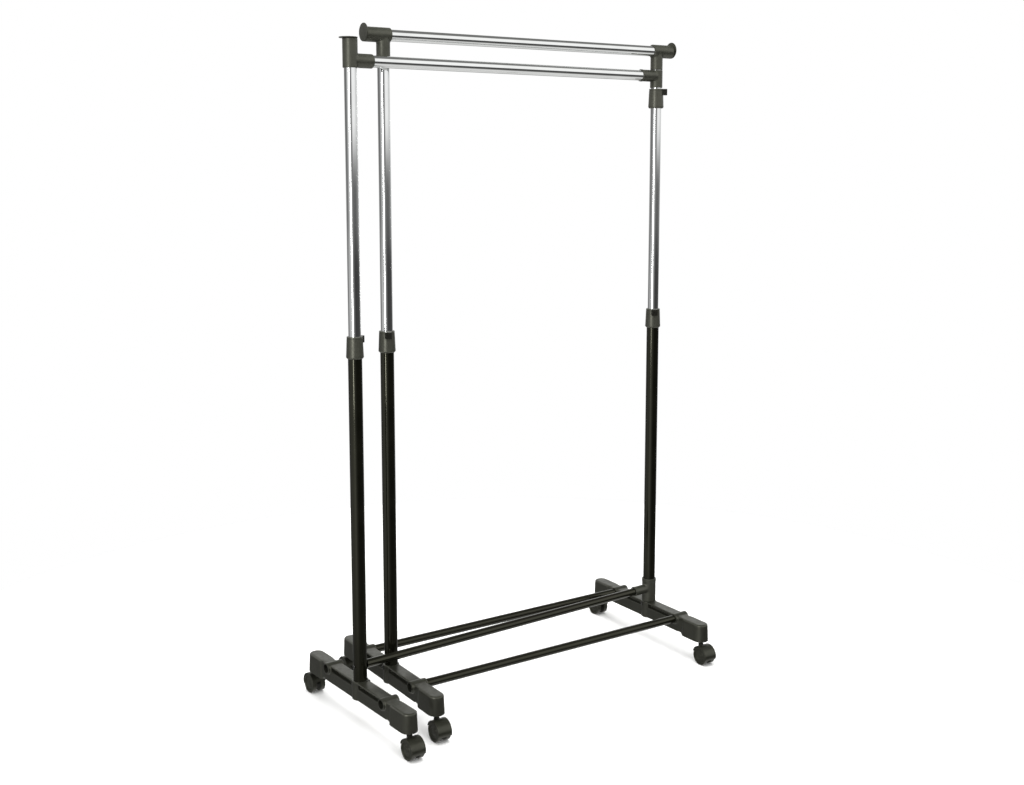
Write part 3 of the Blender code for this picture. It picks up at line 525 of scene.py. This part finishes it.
def collar_mesh(lower_bore, hand):
    """A flared collar with a turned line below its rim and a square lock block towards +X.

    The bore is part of the turned profile: a round cutter here meets the end faces edge on edge,
    and that Boolean does not come out the same each time.
    """
    top = COLLAR_HEIGHT
    line = top - 0.0048

    def radius_at(z):
        share = (z - 0.010) / (top - 0.010)
        return COLLAR_BOTTOM_R - 0.0004 + (COLLAR_TOP_R - COLLAR_BOTTOM_R + 0.0004) * share

    profile = [(lower_bore, 0)] + arc((COLLAR_BOTTOM_R - 0.0030, 0.0008), 0.0008, -90, -20, 3)
    profile += [(COLLAR_BOTTOM_R - 0.0004, 0.0026), (COLLAR_BOTTOM_R, 0.0036)]
    profile += [(COLLAR_BOTTOM_R - 0.0004, 0.010)]
    profile += [(radius_at(line), line), (radius_at(line) - 0.0005, line + 0.0003)]
    profile += [(radius_at(line) - 0.0005, line + 0.0009), (radius_at(line), line + 0.0012)]
    profile += arc((COLLAR_TOP_R - 0.0009, top - 0.0009), 0.0009, 0, 90, 4)
    upper_bore = UPPER_POST_R + GAP
    profile.append((upper_bore, top))
    if lower_bore > upper_bore:
        step = LOWER_POST_TOP + GAP - COLLAR_Z
        profile += [(upper_bore, step), (lower_bore, step)]
    lock = block((upper_bore + 0.0006, -BLOCK_HALF_WIDTH, BLOCK_TOP - BLOCK_HEIGHT),
                 (BLOCK_REACH, BLOCK_HALF_WIDTH, BLOCK_TOP), 0.0009)
    face = hand * BLOCK_HALF_WIDTH
    ys = sorted((face + hand * 0.01, face - hand * POCKET_DEPTH))
    x, z = button_centre()
    half_x, half_z = BUTTON_SIZE[0] / 2 + GAP, BUTTON_SIZE[1] / 2 + GAP
    pocket = block((x - half_x, ys[0], z - half_z), (x + half_x, ys[1], z + half_z))
    return cut(joined(turned(profile, closed=True), lock), pocket)


def button_mesh(hand):
    """The square lock button, with a raised pad on its outer face."""
    half_x, half_z = BUTTON_SIZE[0] / 2, BUTTON_SIZE[1] / 2
    ys = sorted((-hand * 0.0005, -hand * BUTTON_LENGTH))
    body = block((-half_x, ys[0], -half_z), (half_x, ys[1], half_z), 0.0004)
    ys = sorted((0, -hand * 0.002))
    pad = block((-half_x * 0.66, ys[0], -half_z * 0.66), (half_x * 0.66, ys[1], half_z * 0.66), 0.0004)
    return joined(body, pad)


def paint_block_shade(collar):
    """Gives the lock block, which stands out past the sleeve, the black of its button as painted shade: it
    stands for the dark face the block shows, its shade and the dark room it reflects.
    """
    collar.data.materials.append(MATERIALS["button_plastic"])
    for face in collar.data.polygons:
        if math.hypot(face.center.x, face.center.y) > COLLAR_BOTTOM_R + 0.0002:
            # painted shade: the block's outer faces take the button's black material
            face.material_index = 1


def show_collar(name, place, post_x, z, azimuth, lower_bore, hand):
    turn = Matrix.Rotation(azimuth, 4, "Z")
    seat = place @ Matrix.Translation((post_x, 0, z)) @ turn
    paint_block_shade(show(name, collar_mesh(lower_bore, hand), seat))
    out, up = button_centre()
    side = hand * (BLOCK_HALF_WIDTH - BUTTON_RECESS)
    show(name + "_button", button_mesh(hand), seat @ Matrix.Translation((out, side, up)))


# ---- castors --------------------------------------------------------------------------------
def wheel_mesh():
    """A wheel turned about X: rounded tread edges, a proud rim, a dished web and a small hub."""
    inside, outside = WHEEL_X
    hub = outside - 0.0012
    dish = outside - 0.0024
    profile = [(0.0043, inside)] + arc((WHEEL_R - 0.0012, inside + 0.0012), 0.0012, -90, 0, 5)
    profile += arc((WHEEL_R - 0.0018, outside - 0.0018), 0.0018, 0, 90, 6)
    profile += [(WHEEL_R - 0.0040, outside), (WHEEL_R - 0.0047, outside - 0.0006)]
    profile += [(WHEEL_R - 0.0052, dish), (0.0128, dish), (0.0122, dish + 0.0006)]
    profile += [(0.0112, dish + 0.0006), (0.0106, dish), (0.0072, dish)]
    profile += arc((0.0058, hub - 0.0008), 0.0008, 0, 90, 4) + [(0, hub)]
    profile += [(0, outside - 0.0032), (0.0043, outside - 0.0032)]
    bm = bmesh.new()
    bm.from_mesh(turned(profile, 72, closed=True))
    bmesh.ops.delete(bm, geom=[e for e in bm.edges if not e.link_faces], context="EDGES")
    return along_x(to_mesh(bm))


def hood_mesh():
    """The castor's hood: web, curved fender, stub axles and the neck that takes the stem."""
    start, end = FENDER_ARC
    inner, outer = FENDER_R
    fender = arc((0, 0), inner, end, start, FENDER_STEPS)
    for i in range(FENDER_STEPS + 1):
        share = i / FENDER_STEPS
        thin = 1 - min(1.0, 7 * share, 7 * (1 - share)) ** 0.5
        a = math.radians(start + (end - start) * share)
        r = outer - (outer - inner) * 0.75 * thin
        fender.append((r * math.cos(a), r * math.sin(a)))
    web = arc((0, 0), 0.0250, 22, 194, 36) + arc((0, 0), 0.0090, 200, 376, 20)
    shell = standing(extruded(fender, -FENDER_HALF, FENDER_HALF))
    plate = standing(extruded(web, -WEB_HALF, WEB_HALF))
    reach = WHEEL_X[1] - 0.0032 - GAP
    axle = along_x(rod(0.0040, -reach, reach, 32, 0.0004))
    neck = shifted(rod(0.0066, 0.0195, NECK_TOP - WHEEL_R, 48, 0.0006), y=TRAIL)
    hole = shifted(rod(STEM_R + GAP, STEM_BOTTOM - WHEEL_R - GAP, 0.050, 32), y=TRAIL)

    def soften(body):
        bevel = body.modifiers.new("bevel", "BEVEL")
        bevel.width, bevel.segments, bevel.limit_method = 0.0006, 3, "ANGLE"
        bevel.angle_limit = math.radians(50)

    return cut(joined(evaluated(shell, soften), evaluated(plate, soften), axle, neck), hole)


def stem_mesh():
    """The castor's stem on the swivel's axis, with its shoulder under the foot."""
    shoulder = PAD_BOTTOM - GAP
    profile = [(0, STEM_BOTTOM)] + arc((STEM_R - 0.0006, STEM_BOTTOM + 0.0006), 0.0006, -90, 0, 3)
    profile += [(STEM_R, shoulder - 0.0022)]
    profile += arc((STEM_R + 0.0008, shoulder - 0.0015), 0.0005, -90, 0, 3)
    profile += [(STEM_R + 0.0013, shoulder), (STEM_R, shoulder)]
    profile += arc((STEM_R - 0.0010, STEM_TOP - 0.0010), 0.0010, 0, 90, 4) + [(0, STEM_TOP)]
    return turned(profile, 48)


def show_castors(names, place, meshes):
    """The front and back castors under each named foot, trailing outwards."""
    stem, hood, wheel = meshes
    for name, foot_x in names:
        for word, end in (("front", -1), ("back", 1)):
            castor = f"{name}_{word}"
            seat = place @ Matrix.Translation((foot_x, end * STEM_Y, 0))
            show(castor + "_stem", stem, seat)
            swivel = seat @ Matrix.Rotation(0.0 if end < 0 else math.pi, 4, "Z")
            axle = swivel @ Matrix.Translation((0, -TRAIL, WHEEL_R))
            show(castor + "_hood", hood, axle)
            show(castor + "_wheel_a", wheel, axle)
            show(castor + "_wheel_b", wheel, axle @ Matrix.Rotation(math.pi, 4, "Z"))


# ---- screws ---------------------------------------------------------------------------------
def screw_mesh(head_r, thick, shank_r, shank):
    """A domed cross-recessed screw along X, its head's seat at x = 0."""
    profile = [(0, -shank), (shank_r, -shank), (shank_r, 0), (head_r * 0.96, 0), (head_r, thick * 0.12)]
    for i in range(7):
        a = math.radians(15 * i)
        profile.append((head_r * math.cos(a), thick * (0.35 + 0.65 * math.sin(a))))
    profile[-1] = (0, thick)
    bar, deep = head_r * 0.17, head_r * 0.62
    slots = [
        block((thick * 0.45, -deep, -bar), (thick * 1.5, deep, bar)),
        block((thick * 0.45, -bar, -deep), (thick * 1.5, bar, deep)),
    ]
    return cut(along_x(turned(profile, FINE)), *slots)


def show_foot_screw(name, place, foot_x, turn, mesh):
    angle = SCREW_ANGLE + turn
    out = BOSS_R + GAP
    spot = Matrix.Translation((foot_x + out * math.cos(angle), out * math.sin(angle), SCREW_Z))
    show(name, mesh, place @ spot @ Matrix.Rotation(angle, 4, "Z"))


# ---- the rack -------------------------------------------------------------------------------
def lying(place, x, y, z):
    """Where a tube made along Z goes to lie along X, starting at this point."""
    return place @ Matrix.Translation((x, y, z)) @ Matrix.Rotation(math.pi / 2, 4, "Y")


def span_of(node):
    """Lowest and highest point of an upright node."""
    low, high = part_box(node)
    return low.z, high.z


def show_tubes():
    left, far = -FRAME_SPAN, -ARM_SPAN
    posts = (("inner", FIXED, left), ("right", FIXED, 0.0), ("outer", ARM, far))
    for name, place, x in posts:
        spot = place @ Matrix.Translation((x, 0, 0))
        lower, upper = name + "_lower_post", name + "_upper_post"
        mesh = tube(LOWER_POST_R, LOWER_POST_WALL, *span_of(lower))
        if name == "outer":
            mesh = cut(mesh, along_x(shifted(rod(0.0028, -0.03, 0.03, 24), x=-SWING_BAR_Z)))
        show(lower, mesh, spot)
        show(upper, tube(UPPER_POST_R, UPPER_POST_WALL, *span_of(upper)), spot)
    stop, web = 0.0380, SOCKET_WEB + GAP
    rail = tube(RAIL_R, RAIL_WALL, 0, FRAME_SPAN + 2 * stop)
    show("upper_rail", rail, lying(FIXED, left - stop, 0, UPPER_RAIL_Z))
    bar = tube(BAR_R, BAR_WALL, 0, FRAME_SPAN - 2 * web)
    show("shelf_bar_front", bar, lying(FIXED, left + web, -SOCKET_Y, SOCKET_Z))
    show("shelf_bar_back", bar, lying(FIXED, left + web, SOCKET_Y, SOCKET_Z))
    start, end = far + TEE_BODY_R + 0.0002 + GAP, -(UPPER_PIVOT_R + 0.0010 + GAP)
    show("lower_rail", tube(RAIL_R, RAIL_WALL, 0, end - start), lying(ARM, start, 0, LOWER_RAIL_Z))
    start, end = far + LOWER_POST_R + GAP, -(LOWER_PIVOT_RING_R + 0.0010 + GAP)
    show("swing_bar", tube(BAR_R, BAR_WALL, 0, end - start), lying(ARM, start, 0, SWING_BAR_Z))


def show_feet():
    foot = foot_mesh()
    screw = screw_mesh(0.0045, 0.0040, 0.0020, 0.0030)
    show("inner_foot", foot, FIXED @ Matrix.Translation((-FRAME_SPAN, 0, 0)))
    show("right_foot", foot, FIXED.copy())
    outer_foot = moved(foot.copy(), Matrix.Rotation(math.pi + ARM_OPEN, 4, "Z"))
    show("outer_foot", outer_foot, Matrix.Translation(ARM @ Vector((-ARM_SPAN, 0, 0))))
    show_foot_screw("inner_foot_screw", FIXED, -FRAME_SPAN, 0, screw)
    show_foot_screw("right_foot_screw", FIXED, 0, 0, screw)
    show_foot_screw("outer_foot_screw", ARM, -ARM_SPAN, math.pi, screw)
    head = ARM @ Matrix.Translation((-ARM_SPAN - LOWER_POST_R - GAP, 0, SWING_BAR_Z))
    mesh = screw_mesh(0.0046, 0.0028, 0.0025, 0.0400)
    show("swing_bar_screw", mesh, head @ Matrix.Rotation(math.pi, 4, "Z"))


def show_connectors():
    rail_bore, post_bore = RAIL_R + GAP, UPPER_POST_R + GAP
    half_turn = Matrix.Rotation(math.pi, 4, "Z")
    inner = FIXED @ Matrix.Translation((-FRAME_SPAN, 0, UPPER_RAIL_Z))
    right = FIXED @ Matrix.Translation((0, 0, UPPER_RAIL_Z)) @ half_turn
    upright = half_turn @ Matrix.Rotation(math.pi / 2, 4, "Y")
    outer = ARM @ Matrix.Translation((-ARM_SPAN, 0, LOWER_RAIL_Z)) @ upright
    show("inner_top_tee", tee_mesh(rail_bore, post_bore, TEE_REACH), inner)
    show("right_top_tee", tee_mesh(rail_bore, post_bore, PIVOT_TEE_REACH), right)
    show("outer_top_tee", tee_mesh(post_bore, rail_bore, TEE_REACH), outer)
    cap = cap_mesh(rail_bore)
    show("inner_end_cap", cap, inner)
    show("right_end_cap", cap, right)
    show("outer_end_cap", cap_mesh(post_bore), outer)
    upper = (UPPER_PIVOT_Z, UPPER_PIVOT_R, post_bore, LOWER_RAIL_Z, UPPER_PIVOT_BRANCH_R, rail_bore)
    show("upper_pivot_tee", pivot_mesh(*upper), ARM.copy())
    bar_bore = BAR_R + GAP
    lower = (LOWER_PIVOT_Z, LOWER_PIVOT_R, LOWER_POST_R + GAP, SWING_BAR_Z, LOWER_PIVOT_BRANCH_R, bar_bore)
    show("lower_pivot_tee", pivot_mesh(*lower, LOWER_PIVOT_RING_R), ARM.copy())


def show_collars():
    bore = LOWER_POST_R + GAP
    show_collar("inner_collar", FIXED, -FRAME_SPAN, COLLAR_Z, math.radians(-110), bore, 1)
    show_collar("right_collar", FIXED, 0, COLLAR_Z, math.radians(-119), bore, 1)
    show_collar("outer_collar", ARM, -ARM_SPAN, COLLAR_Z, math.radians(26), bore, 1)
    show_collar("stop_collar", FIXED, 0, STOP_COLLAR_Z, math.radians(-38), UPPER_POST_R + GAP, -1)


# ---- studio ---------------------------------------------------------------------------------
VIEW_YAW, VIEW_PITCH = 0.5906, 0.1332
CAMERA_PLACE = (-2.1950, -2.6010, 1.3052)  # from the pivot post's foot
LENS, SHIFT_Y = 45.01, -0.0610


def add_camera():
    data = bpy.data.cameras.new("camera")
    data.sensor_width, data.lens, data.shift_y = 36.0, LENS, SHIFT_Y
    camera = bpy.data.objects.new("camera", data)
    camera.location = Vector((PIVOT.x, PIVOT.y, 0)) + Vector(CAMERA_PLACE)
    camera.rotation_euler = (math.pi / 2 - VIEW_PITCH, 0, -VIEW_YAW)
    bpy.context.scene.collection.objects.link(camera)
    bpy.context.scene.camera = camera


def add_floor():
    """A pale round paper floor, just large enough to stand the rack on."""
    bm = bmesh.new()
    bmesh.ops.create_circle(bm, cap_ends=True, segments=128, radius=1.7)
    mesh = to_mesh(bm)
    floor = bpy.data.objects.new("floor", mesh)
    bpy.context.scene.collection.objects.link(floor)
    s = Surface("floor_paper", specular=0.1)
    s.colours(s.noise(6.0), (0.95, 0.95, 0.945), (0.97, 0.97, 0.965))
    s.roughness(s.noise(40.0), 0.85, 0.95)
    mesh.materials.append(s.mat)
    floor.visible_glossy = floor.visible_diffuse = False


def add_light(name, place, target, size, power, glossy):
    data = bpy.data.lights.new(name, "AREA")
    data.shape, data.size, data.size_y, data.energy = "RECTANGLE", *size, power
    light = bpy.data.objects.new(name, data)
    light.location = place
    light.rotation_euler = (Vector(place) - Vector(target)).to_track_quat("Z", "Y").to_euler()
    light.visible_glossy = glossy
    bpy.context.scene.collection.objects.link(light)


def world_bands(tree, azimuth, bands):
    """A ring of light round the rack: grey levels at azimuths in degrees from the world's +X."""
    ramp = tree.nodes.new("ShaderNodeValToRGB")
    ramp.color_ramp.interpolation = "EASE"
    first, last = ramp.color_ramp.elements
    spots = sorted(((degrees % 360) / 360, level) for degrees, level in bands)
    first.position, first.color = spots[0][0], (*[spots[0][1]] * 3, 1)
    last.position, last.color = spots[-1][0], (*[spots[-1][1]] * 3, 1)
    for position, level in spots[1:-1]:
        ramp.color_ramp.elements.new(position).color = (*[level] * 3, 1)
    tree.links.new(azimuth, ramp.inputs["Fac"])
    return ramp.outputs["Color"]


def math_node(tree, operation, *values):
    node = tree.nodes.new("ShaderNodeMath")
    node.operation = operation
    for socket, value in zip(node.inputs, values):
        if isinstance(value, (int, float)):
            socket.default_value = value
        else:
            tree.links.new(value, socket)
    return node.outputs[0]


def mixed(tree, factor, a, b):
    node = tree.nodes.new("ShaderNodeMix")
    node.data_type = "RGBA"
    tree.links.new(factor, node.inputs["Factor"])
    for socket, value in zip([i for i in node.inputs if i.type == "RGBA"], (a, b)):
        if isinstance(value, tuple):
            socket.default_value = (*value, 1)
        else:
            tree.links.new(value, socket)
    return [o for o in node.outputs if o.type == "RGBA"][0]


def stepped(tree, value, low, high):
    node = tree.nodes.new("ShaderNodeMapRange")
    node.interpolation_type = "SMOOTHSTEP"
    node.inputs["From Min"].default_value = low
    node.inputs["From Max"].default_value = high
    tree.links.new(value, node.inputs["Value"])
    return node.outputs["Result"]


def add_world():
    """A white studio with a grey ceiling, and a dim room behind the camera beyond the floor."""
    world = bpy.data.worlds.new("studio")
    bpy.context.scene.world = world
    world.use_nodes = True
    tree = world.node_tree
    split = tree.nodes.new("ShaderNodeSeparateXYZ")
    tree.links.new(tree.nodes.new("ShaderNodeTexCoord").outputs["Generated"], split.inputs[0])
    x, y, z = split.outputs
    turns = math_node(tree, "DIVIDE", math_node(tree, "ARCTAN2", y, x), 2 * math.pi)
    azimuth = math_node(tree, "FRACT", math_node(tree, "ADD", turns, 1.0))
    toward = math.degrees(math.atan2(CAMERA_PLACE[1], CAMERA_PLACE[0] + FRAME_SPAN / 2))

    def ring(*bands):
        return world_bands(tree, azimuth, [(toward + turn, level) for turn, level in bands])

    high = ring((-178, 0.90), (-134, 0.26), (-101, 0.16), (-76, 0.22), (-55, 0.65), (-36, 1.15),
                (-18, 0.75), (0, 0.22), (12, 0.24), (36, 1.05), (76, 1.03), (110, 0.75))
    level = ring((-178, 0.70), (-140, 0.45), (-114, 0.21), (-84, 0.20), (-60, 0.47), (-38, 1.00),
                 (-18, 1.00), (0, 0.50), (18, 0.16), (60, 0.13), (112, 0.24), (160, 0.55))
    low = ring((-178, 0.80), (-132, 0.25), (-112, 0.17), (-86, 0.48), (-60, 0.56), (-38, 0.78),
               (-20, 0.95), (-2, 0.42), (19, 0.11), (40, 0.050), (90, 0.060), (130, 0.25))
    horizon = mixed(tree, stepped(tree, z, -0.09, -0.04), low, level)
    horizon = mixed(tree, stepped(tree, z, -0.025, 0.035), horizon, high)
    dome = mixed(tree, stepped(tree, z, 0.10, 0.20), horizon, (1.12, 1.12, 1.11))
    camera_side = math_node(tree, "ADD", math_node(tree, "MULTIPLY", x, math.cos(math.radians(toward))),
                            math_node(tree, "MULTIPLY", y, math.sin(math.radians(toward))))
    overhead = math_node(tree, "SUBTRACT", z, math_node(tree, "MULTIPLY", camera_side, 0.25))
    lit = mixed(tree, stepped(tree, overhead, 0.66, 0.80), dome, (0.20, 0.20, 0.195))
    down = math_node(tree, "MULTIPLY", z, -1.0)
    dim = mixed(tree, stepped(tree, down, 0.28, 0.42), lit, (0.15, 0.15, 0.145))
    room = mixed(tree, stepped(tree, down, 0.50, 0.62), dim, (0.80, 0.80, 0.79))
    background = tree.nodes["Background"]
    seen = tree.nodes.new("ShaderNodeLightPath").outputs["Is Camera Ray"]
    tree.links.new(mixed(tree, seen, room, (1.0, 1.0, 1.0)), background.inputs["Color"])


def add_studio():
    add_camera()
    add_floor()
    add_world()
    add_light("strip_softbox", (-2.15, -1.20, 1.35), (0, 0, 1.35), (0.26, 2.0), 20.0, True)
    add_light("ceiling_fill", (0, 0, 3.2), (0, 0, 0), (3.0, 3.0), 150.0, False)
    bpy.context.scene.view_settings.view_transform = "Standard"


add_studio()
show_tubes()
show_feet()
show_connectors()
show_collars()
castor_meshes = (stem_mesh(), hood_mesh(), wheel_mesh())
show_castors((("inner", -FRAME_SPAN), ("right", 0.0)), FIXED, castor_meshes)
show_castors((("outer", -ARM_SPAN),), ARM, castor_meshes)
